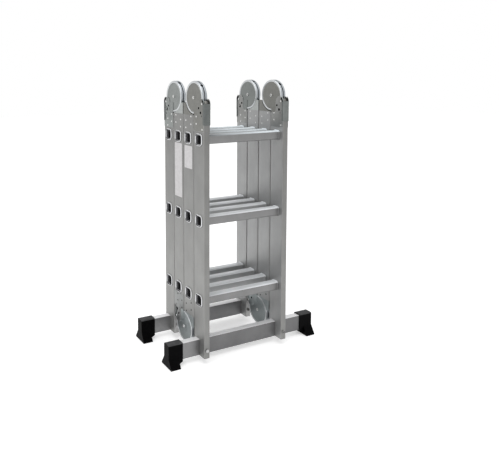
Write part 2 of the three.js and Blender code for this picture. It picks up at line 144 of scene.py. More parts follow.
# Places in the lists of materials that the pieces are made with
STILE_FACE, STILE_EDGE, STILE_INNER, STILE_GAP = range(4)
RUNG_RING, RUNG_TREAD, RUNG_BORE, RUNG_SHADE = range(1, 5)
BAR_TOP = 1
FOOT_PLAIN, FOOT_LIT_TOP = range(2)
BOLT_SOCKET = 1
PLATE_RIM, PLATE_RECESS, PLATE_RIM_EDGE, PLATE_EDGE_HIGHLIGHT, PLATE_EAR = range(1, 6)
AXLE_RING, AXLE_RECESS = range(1, 3)
LEVER_RECESS, LEVER_PIN, LEVER_PAWL_HEAD = range(1, 4)


# Materials

def add_node(tree, kind, **values):
    made = tree.nodes.new(kind)
    for name, value in values.items():
        if name in made.inputs:
            made.inputs[name].default_value = value
        else:
            setattr(made, name, value)
    return made


def object_place(tree):
    return add_node(tree, "ShaderNodeTexCoord").outputs["Object"]


def noise(tree, stretch, detail=3.0, roughness=0.6):
    """Noise on Object coordinates, with stretch cells to the metre along X, Y and Z."""
    mapping = add_node(tree, "ShaderNodeMapping", Scale=stretch)
    texture = add_node(tree, "ShaderNodeTexNoise", Scale=1.0, Detail=detail, Roughness=roughness)
    tree.links.new(object_place(tree), mapping.inputs["Vector"])
    tree.links.new(mapping.outputs["Vector"], texture.inputs["Vector"])
    return texture.outputs["Fac"]


def spread(tree, value, low, high, start=0.3, end=0.7):
    """Maps a noise value, which lies mostly between start and end, to a range."""
    ends = {"From Min": start, "From Max": end, "To Min": low, "To Max": high}
    made = add_node(tree, "ShaderNodeMapRange", **ends)
    tree.links.new(value, made.inputs["Value"])
    return made.outputs["Result"]


def blend(tree, first, second, operation="ADD"):
    made = add_node(tree, "ShaderNodeMath", operation=operation)
    tree.links.new(first, made.inputs[0])
    tree.links.new(second, made.inputs[1])
    return made.outputs["Value"]


def between(tree, factor, dark, light):
    made = add_node(tree, "ShaderNodeMix", data_type="RGBA")
    made.inputs[6].default_value = (*dark, 1)
    made.inputs[7].default_value = (*light, 1)
    tree.links.new(factor, made.inputs["Factor"])
    return made.outputs[2]


def bump(tree, height, strength, distance, under=None):
    made = add_node(tree, "ShaderNodeBump", Strength=strength, Distance=distance)
    tree.links.new(height, made.inputs["Height"])
    if under is not None:
        tree.links.new(under, made.inputs["Normal"])
    return made.outputs["Normal"]


def faded(tree, colour, axis, start, end, low, high):
    """Scales a colour from low to high between two places on one axis of the ladder, as a painted gradient
    of light and shade.
    """
    parts = add_node(tree, "ShaderNodeSeparateXYZ")
    tree.links.new(object_place(tree), parts.inputs["Vector"])
    scaled = add_node(tree, "ShaderNodeVectorMath", operation="SCALE")
    tree.links.new(colour, scaled.inputs[0])
    tree.links.new(spread(tree, parts.outputs[axis], low, high, start, end), scaled.inputs["Scale"])
    return scaled.outputs["Vector"]


def start_material(name, metallic, roughness):
    material = bpy.data.materials.new(name)
    material.use_nodes = True
    shader = material.node_tree.nodes["Principled BSDF"]
    shader.inputs["Metallic"].default_value = metallic
    shader.inputs["Roughness"].default_value = roughness
    return material, material.node_tree, shader


def wire(tree, shader, colour, roughness=None, normal=None, fade=None):
    """Links the shader's colour and, where they vary, its roughness and normal."""
    if fade:
        colour = faded(tree, colour, *fade)
    for socket, output in (("Base Color", colour), ("Roughness", roughness), ("Normal", normal)):
        if output is not None:
            tree.links.new(output, shader.inputs[socket])


def aluminium(name, dark, light, along, ribs=0, metallic=0.75, fade=None):
    """Mill finish: fine die lines along one axis, faint handling marks and a few rubbed scratches."""
    material, tree, shader = start_material(name, metallic, 0.42)
    line_stretch = [1100.0, 1100.0, 1100.0]
    line_stretch[along] = 5.0
    lines = noise(tree, line_stretch, 4.0)
    marks = noise(tree, (16.0, 16.0, 11.0), 3.0)
    rubs = noise(tree, (70.0, 70.0, 22.0), 5.0, 0.7)
    tone = blend(tree, spread(tree, lines, 0.0, 0.45), spread(tree, marks, 0.0, 0.55))
    shine = blend(tree, spread(tree, lines, 0.36, 0.5), spread(tree, rubs, 0.0, 0.08, 0.58, 0.7))
    relief = bump(tree, lines, 0.12, 0.0002)
    if ribs:
        wave = add_node(tree, "ShaderNodeTexWave", bands_direction="Y", Scale=ribs)
        tree.links.new(object_place(tree), wave.inputs["Vector"])
        relief = bump(tree, wave.outputs["Fac"], 0.1, 0.0003, relief)
    wire(tree, shader, between(tree, tone, dark, light), shine, relief, fade)
    return material


def zinc_plate(name, dark, light, roughness, fade=None):
    """Zinc plated pressed steel: faint spangle, cloudy tone and a slight orange peel."""
    material, tree, shader = start_material(name, 1.0, roughness)
    spangle = add_node(tree, "ShaderNodeTexVoronoi", Scale=420.0)
    tree.links.new(object_place(tree), spangle.inputs["Vector"])
    grey = add_node(tree, "ShaderNodeSeparateColor")
    tree.links.new(spangle.outputs["Color"], grey.inputs["Color"])
    cells = grey.outputs["Red"]
    clouds = noise(tree, (26.0,) * 3, 4.0)
    tone = blend(tree, spread(tree, cells, 0.0, 0.25, 0.0, 1.0), spread(tree, clouds, 0.0, 0.75))
    shine = spread(tree, clouds, roughness - 0.06, roughness + 0.08)
    peel = bump(tree, noise(tree, (900.0,) * 3, 2.0), 0.06, 0.0002)
    wire(tree, shader, between(tree, tone, dark, light), shine, peel, fade)
    return material


def scratched_metal(name, dark, light, roughness):
    """Metal with fine cross scratches. Its uses on the rims' crowns, the ears' edges, the rung flares and
    the axle domes are painted highlights, on the rims' side bands a painted sheen, and on the bottom rivets
    painted shade.
    """
    material, tree, shader = start_material(name, 1.0, roughness)
    scratches = noise(tree, (260.0, 900.0, 700.0), 5.0, 0.7)
    colour = between(tree, spread(tree, scratches, 0.0, 1.0), dark, light)
    shine = spread(tree, scratches, roughness - 0.05, roughness + 0.1)
    wire(tree, shader, colour, shine, bump(tree, scratches, 0.05, 0.0001))
    return material


def moulded_rubber(name, dark, light):
    """Matt black rubber with a fine grain and a little dust."""
    material, tree, shader = start_material(name, 0.0, 0.4)
    grain = noise(tree, (1400.0,) * 3, 2.0)
    dust = noise(tree, (45.0,) * 3, 5.0, 0.7)
    colour = between(tree, spread(tree, dust, 0.0, 1.0, 0.5, 0.8), dark, light)
    shader.inputs["Specular IOR Level"].default_value = 0.03
    wire(tree, shader, colour, spread(tree, dust, 0.36, 0.5), bump(tree, grain, 0.15, 0.0003))
    return material


# Painted shade: near black for holes, sockets, dimples, the levers' insides and dark sheets put where shade
# falls, with a faint mottle.
def painted_shade_recess(name):
    material, tree, shader = start_material(name, 0.0, 0.85)
    shade_mottle = noise(tree, (300.0,) * 3, 3.0)
    wire(tree, shader, between(tree, shade_mottle, (0.004, 0.004, 0.005), (0.012, 0.012, 0.013)))
    shader.inputs["Specular IOR Level"].default_value = 0.1
    return material


def blank_vinyl(name):
    """A blank sticker: white vinyl with a slightly rubbed surface."""
    material, tree, shader = start_material(name, 0.0, 0.4)
    rubs = noise(tree, (60.0, 60.0, 90.0), 5.0, 0.7)
    colour = between(tree, spread(tree, rubs, 0.0, 1.0), (0.5, 0.485, 0.49), (0.62, 0.61, 0.615))
    wire(tree, shader, colour, spread(tree, rubs, 0.34, 0.5))
    return material


# Painted light and shade on the stiles: the outer face darkens towards the top, the inner faces are a
# lighter copy that is lighter again low down, the outward narrow faces a darker copy that also darkens
# towards the top, and the narrow faces in the gaps a lighter copy.
STILE_METAL = aluminium(
    "stile_mill_aluminium", (0.235, 0.235, 0.23), (0.31, 0.31, 0.303), 2, fade=("Z", 0.3, 0.8, 1.0, 0.86),
)
STILE_INNER_LIT_METAL = aluminium(
    "stile_inner_painted_light_aluminium", (0.288, 0.29, 0.29), (0.384, 0.386, 0.386), 2, fade=("Z", 0.1, 0.5, 1.12, 1.0),
)
STILE_EDGE_SHADE_METAL = aluminium(
    "stile_edge_painted_shade_aluminium", (0.19, 0.19, 0.185), (0.265, 0.265, 0.258), 2, fade=("Z", 0.35, 0.8, 1.0, 0.84),
)
STILE_GAP_LIT_METAL = aluminium(
    "stile_gap_painted_light_aluminium", (0.4, 0.4, 0.395), (0.5, 0.5, 0.495), 2, metallic=0.5,
)
RUNG_METAL = aluminium("rung_mill_aluminium", (0.19, 0.19, 0.19), (0.252, 0.252, 0.253), 0)
SHADED_RUNG_METAL = aluminium(
    "rung_shaded_aluminium", (0.31, 0.316, 0.32), (0.4, 0.406, 0.41), 0, metallic=0.3,
)
# Painted light: the rungs' top faces are a lighter, less metallic copy of the rung aluminium, lighter
# towards +X; on the top rung it is far darker towards -X.
TREAD_LIT_METAL = aluminium(
    "rung_tread_painted_light_aluminium", (0.6, 0.62, 0.635), (0.74, 0.76, 0.78), 0, ribs=62, metallic=0.2,
    fade=("X", -0.16, 0.1, 0.78, 1.15),
)
TOP_TREAD_LIT_METAL = aluminium(
    "top_rung_tread_painted_light_aluminium", (0.44, 0.475, 0.5), (0.56, 0.6, 0.625), 0, ribs=62, metallic=0.2,
    fade=("X", -0.16, 0.1, 0.26, 1.45),
)
# Painted shade: near black aluminium inside the rungs' bores and mouths.
BORE_SHADE_METAL = aluminium("rung_bore_painted_shade_aluminium", (0.06, 0.06, 0.065), (0.1, 0.1, 0.105), 0)
BAR_METALS = {
    # Painted shade: the front bar is a darker copy of the rear bar's aluminium, with painted light making it
    # lighter towards -X.
    "front_section": aluminium(
        "front_bar_painted_shade_aluminium", (0.136, 0.136, 0.138), (0.183, 0.183, 0.185), 0,
        fade=("X", -0.22, -0.15, 1.42, 1.0),
    ),
    "rear_section": aluminium("rear_bar_aluminium", (0.19, 0.19, 0.192), (0.255, 0.255, 0.258), 0),
}
# Painted light: a near white, barely metallic copy on the bars' top faces.
BAR_TOP_LIT_METAL = aluminium(
    "bar_top_painted_light_aluminium", (0.72, 0.72, 0.73), (0.84, 0.84, 0.85), 0, metallic=0.15,
)
FRONT_PLATE_STEEL = zinc_plate("front_hinge_zinc_plate", (0.17, 0.17, 0.159), (0.245, 0.245, 0.23), 0.42)
REAR_PLATE_STEEL = zinc_plate("rear_hinge_zinc_plate", (0.215, 0.228, 0.222), (0.295, 0.312, 0.304), 0.4)
REAR_RIGHT_PLATE_STEEL = zinc_plate(
    "rear_right_hinge_zinc_plate", (0.17, 0.18, 0.176), (0.235, 0.25, 0.243), 0.4,
)
REAR_TONGUE_STEEL = zinc_plate("rear_tongue_zinc_plate", (0.32, 0.335, 0.327), (0.43, 0.45, 0.44), 0.4)
SHADED_EAR_STEEL = zinc_plate("shaded_ear_zinc_plate", (0.225, 0.227, 0.221), (0.315, 0.317, 0.31), 0.42)
BOTTOM_EAR_STEEL = zinc_plate("bottom_ear_zinc_plate", (0.22, 0.226, 0.224), (0.3, 0.307, 0.305), 0.42)
# Painted shade: the bottom hinge's plates darken towards the floor. The left one is also a lighter
# painted-light copy.
BOTTOM_PLATE_STEEL = zinc_plate(
    "bottom_hinge_zinc_plate", (0.26, 0.288, 0.292), (0.365, 0.4, 0.405), 0.38,
    fade=("Z", 0.045, 0.105, 0.6, 1.0),
)
BOTTOM_LEFT_LIT_PLATE_STEEL = zinc_plate(
    "bottom_left_hinge_painted_light_zinc_plate", (0.37, 0.41, 0.415), (0.51, 0.555, 0.56), 0.38,
    fade=("Z", 0.045, 0.105, 0.4, 0.92),
)
LEVER_STEELS = {
    "left": zinc_plate("left_lever_zinc_plate", (0.108, 0.117, 0.114), (0.162, 0.172, 0.169), 0.36),
    "right": zinc_plate("right_lever_zinc_plate", (0.14, 0.15, 0.146), (0.208, 0.221, 0.215), 0.36),
}
# Painted highlight on the crowns of the discs' rolled rims, and a dimmer painted sheen on their side bands.
RIM_HIGHLIGHT_STEEL = scratched_metal("hinge_rim_painted_highlight", (0.46, 0.475, 0.485), (0.6, 0.615, 0.625), 0.32)
RIM_EDGE_SHEEN_STEEL = scratched_metal("hinge_rim_edge_painted_sheen", (0.3, 0.32, 0.34), (0.41, 0.435, 0.455), 0.36)
# Painted highlight along the softened edges of the ears.
EDGE_HIGHLIGHT_STEEL = scratched_metal("hinge_edge_painted_highlight", (0.36, 0.365, 0.36), (0.5, 0.505, 0.5), 0.3)
# Painted highlight on the rolled flares at the rung ends.
RING_HIGHLIGHT_METAL = scratched_metal("rung_end_flare_painted_highlight", (0.62, 0.625, 0.64), (0.78, 0.785, 0.8), 0.28)
RIVET_METAL = scratched_metal("rivet_aluminium", (0.54, 0.54, 0.535), (0.72, 0.72, 0.71), 0.3)
# Painted shade: a near black copy of the rivets, for the bottom hinge.
SHADED_RIVET_METAL = scratched_metal("rivet_painted_shade_steel", (0.05, 0.05, 0.05), (0.09, 0.09, 0.088), 0.4)
# Painted highlight on the axle rivets' domes.
AXLE_RING_HIGHLIGHT_METAL = scratched_metal("axle_ring_painted_highlight_steel", (0.48, 0.48, 0.475), (0.66, 0.66, 0.65), 0.3)
BOLT_METAL = scratched_metal("bolt_bright_zinc", (0.36, 0.36, 0.36), (0.52, 0.52, 0.52), 0.3)
# Painted shade: darker zinc for the right bolts, which are the same bolts as the left ones.
SHADED_BOLT_METAL = zinc_plate("bolt_painted_shade_zinc", (0.2, 0.2, 0.195), (0.28, 0.28, 0.273), 0.45)
FOOT_RUBBER = moulded_rubber("foot_black_rubber", (0.0014, 0.0014, 0.0016), (0.0035, 0.0035, 0.004))
# Painted light: a lighter copy of the black rubber on the feet's top faces.
LIT_TOP_RUBBER = moulded_rubber("foot_top_painted_light_rubber", (0.055, 0.055, 0.057), (0.1, 0.1, 0.103))
# Painted shade for holes, sockets, dimples and dark sheets.
RECESS_SHADE = painted_shade_recess("painted_shade_recess")
STICKER = blank_vinyl("blank_white_sticker")

PLATE_STEELS = {
    "front_top_hinge": {"left": FRONT_PLATE_STEEL, "right": FRONT_PLATE_STEEL},
    "rear_top_hinge": {"left": REAR_PLATE_STEEL, "right": REAR_RIGHT_PLATE_STEEL},
    "bottom_hinge": {"left": BOTTOM_LEFT_LIT_PLATE_STEEL, "right": BOTTOM_PLATE_STEEL},
}
EAR_STEELS = {
    "front_top_hinge": {"left": FRONT_PLATE_STEEL, "right": SHADED_EAR_STEEL},
    "rear_top_hinge": {"left": REAR_PLATE_STEEL, "right": SHADED_EAR_STEEL},
    "bottom_hinge": {"left": BOTTOM_EAR_STEEL, "right": BOTTOM_PLATE_STEEL},
}
TONGUE_STEELS = {
    "front_top_hinge": FRONT_PLATE_STEEL,
    "rear_top_hinge": REAR_TONGUE_STEEL,
    "bottom_hinge": BOTTOM_PLATE_STEEL,
}


# Shape helpers

def arc(x, y, radius, start, end, steps):
    """Points on an arc, with its angles in degrees."""
    angles = [math.radians(start + (end - start) * i / steps) for i in range(steps + 1)]
    return [(x + radius * math.cos(a), y + radius * math.sin(a)) for a in angles]


def shift(x, y, z):
    return Matrix.Translation((x, y, z))


def painted(bm, material):
    """bm with every face in one material."""
    for face in bm.faces:
        face.material_index = material
    return bm


def round_off(bm, geometry, radius, segments, affect="EDGES"):
    """Rounds edges, or corners when affect is VERTICES."""
    return bmesh.ops.bevel(
        bm, geom=geometry, offset=radius, segments=segments, profile=0.5, affect=affect, material=-1,
    )


def slab(points, low, high, soften=0.0, material=0):
    """An outline in the XY plane as a plate from low to high, with its rims softened if asked."""
    bm = bmesh.new()
    face = bm.faces.new([bm.verts.new((x, y, low)) for x, y in points])
    made = bmesh.ops.extrude_face_region(bm, geom=[face])
    raised = [v for v in made["geom"] if isinstance(v, bmesh.types.BMVert)]
    bmesh.ops.translate(bm, verts=raised, vec=(0, 0, high - low))
    bmesh.ops.recalc_face_normals(bm, faces=bm.faces)
    if soften:
        rims = [e for e in bm.edges if abs(e.verts[0].co.z - e.verts[1].co.z) < TINY]
        round_off(bm, rims, soften, 2)
    return painted(bm, material)


def spun(profile, steps, closed=True, material=0):
    """A profile of radius and height turned round Z."""
    bm = bmesh.new()
    verts = [bm.verts.new((radius, 0, height)) for radius, height in profile]
    pairs = list(zip(verts, verts[1:]))
    if closed:
        pairs.append((verts[-1], verts[0]))
    edges = [bm.edges.new(pair) for pair in pairs]
    bmesh.ops.spin(
        bm, geom=verts + edges, cent=(0, 0, 0), axis=(0, 0, 1),
        angle=2 * math.pi, steps=steps, use_merge=True,
    )
    bmesh.ops.remove_doubles(bm, verts=bm.verts, dist=1e-4)
    bmesh.ops.recalc_face_normals(bm, faces=bm.faces)
    return painted(bm, material)


def rounded_loop(bm, width, height, corner, steps):
    """The edges of a rounded rectangle in the XY plane."""
    made = bmesh.ops.create_grid(bm, x_segments=1, y_segments=1, size=0.5)
    bmesh.ops.scale(bm, verts=made["verts"], vec=(width, height, 1))
    rounded = round_off(bm, made["verts"], corner, steps, affect="VERTICES")
    face = max((f for v in rounded["verts"] for f in v.link_faces), key=lambda f: f.calc_area())
    edges = list(face.edges)
    bmesh.ops.delete(bm, geom=[face], context="FACES_ONLY")
    return edges


def lofted(stations, steps=6, closed=True):
    """A skin over rounded rectangles, each given as height on Z, width, depth and corner.

    Closed, it runs from the last one back to the first. Otherwise both ends are capped.
    """
    bm = bmesh.new()
    loops = []
    for height, width, depth, corner in stations:
        edges = rounded_loop(bm, width, depth, corner, steps)
        verts = {v for e in edges for v in e.verts}
        bmesh.ops.translate(bm, verts=list(verts), vec=(0, 0, height))
        loops.append(edges)
    if closed:
        loops.append(loops[0])
    for first, second in zip(loops, loops[1:]):
        bmesh.ops.bridge_loops(bm, edges=first + second)
    if not closed:
        for edges in (loops[0], loops[-1]):
            bmesh.ops.edgeloop_fill(bm, edges=edges)
    bmesh.ops.recalc_face_normals(bm, faces=bm.faces)
    return bm


def rod(x, y, radius, low, high, steps=24, material=0):
    """A round bar along Z."""
    bm = bmesh.new()
    bmesh.ops.create_cone(
        bm, cap_ends=True, segments=steps, radius1=radius, radius2=radius, depth=high - low,
        matrix=shift(x, y, (low + high) / 2),
    )
    return painted(bm, material)


def block(x0, x1, y0, y1, z0, z1):
    bm = bmesh.new()
    bmesh.ops.create_cube(bm, size=1)
    bmesh.ops.scale(bm, verts=bm.verts, vec=(x1 - x0, y1 - y0, z1 - z0))
    bmesh.ops.translate(bm, verts=bm.verts, vec=((x0 + x1) / 2, (y0 + y1) / 2, (z0 + z1) / 2))
    return bm


def moved(bm, matrix):
    """bm under a matrix. A mirroring matrix turns the faces round, so they are turned back."""
    bmesh.ops.transform(bm, matrix=matrix, verts=bm.verts)
    if matrix.determinant() < 0:
        bmesh.ops.reverse_faces(bm, faces=bm.faces)
    return bm


def together(*shapes):
    """Several shapes in one bmesh."""
    whole = bmesh.new()
    carrier = bpy.data.meshes.new("carrier")
    for shape in shapes:
        shape.to_mesh(carrier)
        whole.from_mesh(carrier)
        shape.free()
    bpy.data.meshes.remove(carrier)
    return whole


def in_scene(name, data):
    made = bpy.data.objects.new(name, data)
    bpy.context.scene.collection.objects.link(made)
    return made


def as_object(name, bm):
    """An object from bm, which is used up."""
    mesh = bpy.data.meshes.new(name)
    bm.to_mesh(mesh)
    bm.free()
    return in_scene(name, mesh)


def carved(bm, *tools, operation="DIFFERENCE"):
    """bm with the tools cut from it or joined to it. A cut's faces take the tool's material."""
    body = as_object("carved_body", bm)
    helpers = [as_object("carving_tool", tool) for tool in tools]
    for helper in helpers:
        change = body.modifiers.new("carve", "BOOLEAN")
        change.operation = operation
        change.solver = "EXACT"
        change.material_mode = "INDEX"
        change.object = helper
    bpy.context.view_layer.update()
    shaped = body.evaluated_get(bpy.context.evaluated_depsgraph_get())
    result = bmesh.new()
    result.from_mesh(shaped.to_mesh())
    shaped.to_mesh_clear()
    for gone in [body, *helpers]:
        mesh = gone.data
        bpy.data.objects.remove(gone)
        bpy.data.meshes.remove(mesh)
    return result


def make_piece(name, bm, materials, body, nodes=(), bevel=0.0):
    """Makes the finished object at the origin, with its place in its mesh, in metres."""
    bmesh.ops.remove_doubles(bm, verts=bm.verts, dist=MM * 1e-3)
    for face in bm.faces:
        face.smooth = True
    for edge in bm.edges:
        edge.smooth = edge.is_manifold and edge.calc_face_angle(math.pi) < math.radians(CREASE_ANGLE)
    piece = as_object(name, bm)
    for material in materials:
        piece.data.materials.append(material)
    if bevel:
        rounding = piece.modifiers.new("soft_edges", "BEVEL")
        rounding.width = bevel * MM
        rounding.segments = 3
        rounding.limit_method = "ANGLE"
        rounding.angle_limit = math.radians(CREASE_ANGLE)
        rounding.harden_normals = True
    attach(piece, body)
    if nodes:
        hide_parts(*nodes)


# Turns Z to X, X to Y and Y to Z, for a shape that is drawn along Z and lies along X.
ALONG_X = Matrix(((0, 0, 1, 0), (1, 0, 0, 0), (0, 1, 0, 0), (0, 0, 0, 1)))
# Turns Z to Y, for a shape that is drawn along Z and lies along Y.
ALONG_Y = Matrix(((1, 0, 0, 0), (0, 0, 1, 0), (0, -1, 0, 0), (0, 0, 0, 1)))
# Turns Y to Z, for a section that is drawn flat and swept upwards.
Y_TO_Z = Matrix(((1, 0, 0, 0), (0, 0, -1, 0), (0, 1, 0, 0), (0, 0, 0, 1)))
# Swaps Y and Z, for an outline that is drawn as X and height.
SWAP_Y_Z = Matrix(((1, 0, 0, 0), (0, 0, 1, 0), (0, 1, 0, 0), (0, 0, 0, 1)))
TO_METRES = Matrix.Scale(MM, 4)


def measure(node):
    """The low and high corner of a node's box, in millimetres."""
    low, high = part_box(node)
    return low / MM, high / MM


stile_box = measure("front_section_left_stile")
HALF_STILE = (stile_box[1].x - stile_box[0].x) / 2


# Stiles

def rung_socket(width, height):
    """The tool for a rung's opening through a stile of this width, at this height."""
    opening = (RUNG_WIDTH + 2 * GAP, RUNG_HEIGHT + 2 * GAP, RUNG_CORNER)
    socket = lofted([(-width, *opening), (width, *opening)], closed=False)
    return moved(socket, shift(0, 0, height) @ ALONG_X)


def make_stile(section, side):
    node = f"{section}_{side}_stile"
    low, high = measure(node)
    width, depth = high.x - low.x, high.y - low.y
    centre = (low + high) / 2
    outer = (width, depth, STILE_CORNER)
    inner = (width - 2 * STILE_WALL, depth - 2 * STILE_WALL, STILE_INNER_CORNER)
    tube = lofted([(low.z, *outer), (high.z, *outer), (high.z, *inner), (low.z, *inner)])
    cutters = []
    for rung in RUNGS:
        rung_low, rung_high = measure(f"{section}_{rung}_rung")
        cutters.append(rung_socket(width, (rung_low.z + rung_high.z) / 2))
    if f"{section}_stabiliser_bar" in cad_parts:
        bar_low, bar_high = measure(f"{section}_stabiliser_bar")
        cutters.append(
            block(
                -width, width,
                bar_low.y - centre.y - GAP, bar_high.y - centre.y + GAP,
                low.z - 1, bar_high.z + GAP,
            )
        )
        hole = rod(0, 0, BOLT_RADIUS + GAP, -depth, depth)
        bar_middle = (bar_low.z + bar_high.z) / 2
        cutters.append(moved(hole, shift(0, 0, bar_middle) @ ALONG_Y))
    shape = carved(tube, *cutters)
    # Painted light and shade by the way faces point: outward narrow faces take the darker copy, the narrow
    # faces in the gaps and the inner faces the lighter copies.
    for face in shape.faces:
        narrow = abs(face.normal.y) > 0.8 and abs(face.calc_center_median().y) > depth / 2 - 0.5
        inner_face = face.normal.x * SIDES[side] < -0.8
        outward = face.normal.y < 0 if section == "front_section" else face.normal.y > 0
        in_a_gap = section.endswith("inner_section") or not outward
        if narrow:
            face.material_index = STILE_GAP if in_a_gap else STILE_EDGE
        elif inner_face:
            face.material_index = STILE_INNER
        else:
            face.material_index = STILE_FACE
    moved(shape, TO_METRES @ shift(centre.x, centre.y, 0))
    make_piece(
        f"{node}_profile", shape, [STILE_METAL, STILE_EDGE_SHADE_METAL, STILE_INNER_LIT_METAL, STILE_GAP_LIT_METAL],
        section, [node],
    )


# Rungs

def rung_skin(half_length, stile_outer, stile_inner):
    """Stations of a square tube, beaded inside each stile and rolled back as a flare outside it."""
    bead = [(0, 0.0), (0.6, 1.5), (1.9, 2.3), (3.2, 1.9), (3.9, 0.6)]
    flare = [
        (0.0, 4.2), (0.3, 5.2), (1.2, 5.5), (2.2, 5.25), (2.8, 4.6), (3.0, 3.8),
        (2.8, 3.0), (2.0, 2.2), (0.2, 1.1), (-2.5, -0.3), (-5.5, -1.3), (-9.0, -RUNG_WALL),
    ]
    right = [(stile_inner - 4.0 + x, extra) for x, extra in bead]
    right.append((stile_inner, 0.0))
    right.append((stile_outer - 0.2, 0.0))
    right += [(half_length - 3.0 + x, extra) for x, extra in flare]
    left = [(-x, extra) for x, extra in reversed(right)]
    stations = []
    for x, extra in left + right:
        flared = abs(x) > stile_outer - 0.3
        sideways = extra * (FLARE_SIDE_STRETCH if flared and extra > 0 else 1)
        stations.append(
            (x, RUNG_WIDTH + 2 * sideways, RUNG_HEIGHT + 2 * extra, max(RUNG_CORNER + 1.7 * extra, 1.5))
        )
    return stations


def make_rung(section, rung):
    node = f"{section}_{rung}_rung"
    low, high = measure(node)
    stile_low, stile_high = measure(f"{section}_right_stile")
    centre = (low + high) / 2
    shape = lofted(
        rung_skin(high.x - centre.x, stile_high.x - centre.x + GAP, stile_low.x - centre.x - GAP), steps=5,
    )
    stile_face = stile_high.x - centre.x
    # Painted light and shade by face: the bore and mouth take painted shade, the flare outside the stile a
    # painted highlight, the top faces painted light, and the fronts of the rear rungs the lighter
    # shaded-rung copy.
    for face in shape.faces:
        middle = face.calc_center_median()
        outside = max(abs(middle.x) - RUNG_WIDTH / 2, abs(middle.y) - RUNG_HEIGHT / 2)
        faces_in = face.normal.x * middle.x + face.normal.y * middle.y < 0
        in_the_mouth = abs(middle.z) > stile_face - 8 and outside < 3.0
        if faces_in and (in_the_mouth or outside < -0.8):
            face.material_index = RUNG_BORE
        elif abs(middle.z) > stile_face:
            face.material_index = RUNG_RING
        elif face.normal.y > 0.35 and outside > -2.5:
            face.material_index = RUNG_TREAD
        elif face.normal.x < -0.3 and section != "front_section":
            face.material_index = RUNG_SHADE
    moved(shape, TO_METRES @ Matrix.Translation(centre) @ ALONG_X)
    tread = TOP_TREAD_LIT_METAL if rung == "top" else TREAD_LIT_METAL
    make_piece(
        f"{node}_tube", shape, [RUNG_METAL, RING_HIGHLIGHT_METAL, tread, BORE_SHADE_METAL, SHADED_RUNG_METAL],
        section, [node],
    )


# Stabiliser bars, feet and bolts

def make_bar(section):
    node = f"{section}_stabiliser_bar"
    low, high = measure(node)
    centre = (low + high) / 2
    reach = high.x - centre.x
    depth, height = high.y - low.y, high.z - low.z
    outer = (depth, height, BAR_CORNER)
    inner = (depth - 2 * BAR_WALL, height - 2 * BAR_WALL, BAR_INNER_CORNER)
    shape = lofted([(-reach, *outer), (reach, *outer), (reach, *inner), (-reach, *inner)], steps=3)
    # The top face takes a near white painted-light copy.
    for face in shape.faces:
        if face.normal.y > 0.6 and face.calc_center_median().y > height / 2 - 1.3:
            face.material_index = BAR_TOP
    moved(shape, TO_METRES @ Matrix.Translation(centre) @ ALONG_X)
    make_piece(
        f"{node}_tube", shape, [BAR_METALS[section], BAR_TOP_LIT_METAL],
        section, [node],
    )


def foot_shape(sleeve_length, height, half_base, bar_depth, bar_bottom, bar_top):
    """A foot for the +X end of a bar. Its outer face is at X 0, and Y is across the bar."""
    half_sleeve = bar_depth / 2 + FOOT_WALL
    flare = FOOT_FLARE_HEIGHT
    sleeve = block(-sleeve_length, 0, -half_sleeve, half_sleeve, bar_bottom - FOOT_WALL, height)
    long_edges = [
        e for e in sleeve.edges
        if abs(e.verts[0].co.x - e.verts[1].co.x) > 1 and min(v.co.z for v in e.verts) > height - 1
    ]
    round_off(sleeve, long_edges, FOOT_CORNER, 5)
    outline = [
        (-half_base, 0), (half_base, 0), (half_base, FOOT_EDGE_HEIGHT),
        (half_sleeve + 1.5, flare - 3), (half_sleeve, flare + 1),
        (-half_sleeve, flare + 1), (-half_sleeve - 1.5, flare - 3), (-half_base, FOOT_EDGE_HEIGHT),
    ]
    base = moved(slab(outline, -FOOT_BASE_LENGTH, 0), ALONG_X)
    grooves = [
        block(-FOOT_BASE_LENGTH - 1, 1, y - GROOVE_HALF_WIDTH, y + GROOVE_HALF_WIDTH, -1, GROOVE_DEPTH)
        for y in GROOVE_PLACES
    ]
    pocket = block(
        -sleeve_length - 1, -FOOT_WALL + GAP,
        -bar_depth / 2 - GAP, bar_depth / 2 + GAP,
        bar_bottom - GAP, bar_top + GAP,
    )
    gusset_outline = [
        (-FOOT_BASE_LENGTH + 1, bar_bottom - 3), (-sleeve_length, bar_bottom - 3),
        (-sleeve_length, bar_bottom - 5), (-sleeve_length + 12, 8), (-FOOT_BASE_LENGTH + 1, 8),
    ]
    gusset = moved(slab(gusset_outline, -half_sleeve, half_sleeve), SWAP_Y_Z)
    body = carved(carved(sleeve, base, operation="UNION"), gusset, operation="UNION")
    return carved(body, pocket, *grooves)


def make_foot(section, side):
    node = f"{section}_{side}_foot"
    low, high = measure(node)
    bar_low, bar_high = measure(f"{section}_stabiliser_bar")
    shape = foot_shape(
        high.x - low.x, high.z, (high.y - low.y) / 2,
        bar_high.y - bar_low.y, bar_low.z, bar_high.z,
    )
    # Upward faces at the top take a lighter painted-light copy of the rubber.
    for face in shape.faces:
        on_top = face.normal.z > 0.3 and face.calc_center_median().z > high.z - 8
        face.material_index = FOOT_LIT_TOP if on_top else FOOT_PLAIN
    outer_x = high.x if side == "right" else low.x
    mirror = Matrix.Diagonal((SIDES[side], 1, 1, 1))
    moved(shape, TO_METRES @ shift(outer_x, (low.y + high.y) / 2, 0) @ mirror)
    make_piece(
        f"{node}_boot", shape, [FOOT_RUBBER, LIT_TOP_RUBBER],
        section, [node], bevel=1.3,
    )


def hexagon(radius, low, high):
    bm = rod(0, 0, radius, low, high, steps=6)
    round_off(bm, list(bm.edges), 0.5, 2)
    return bm


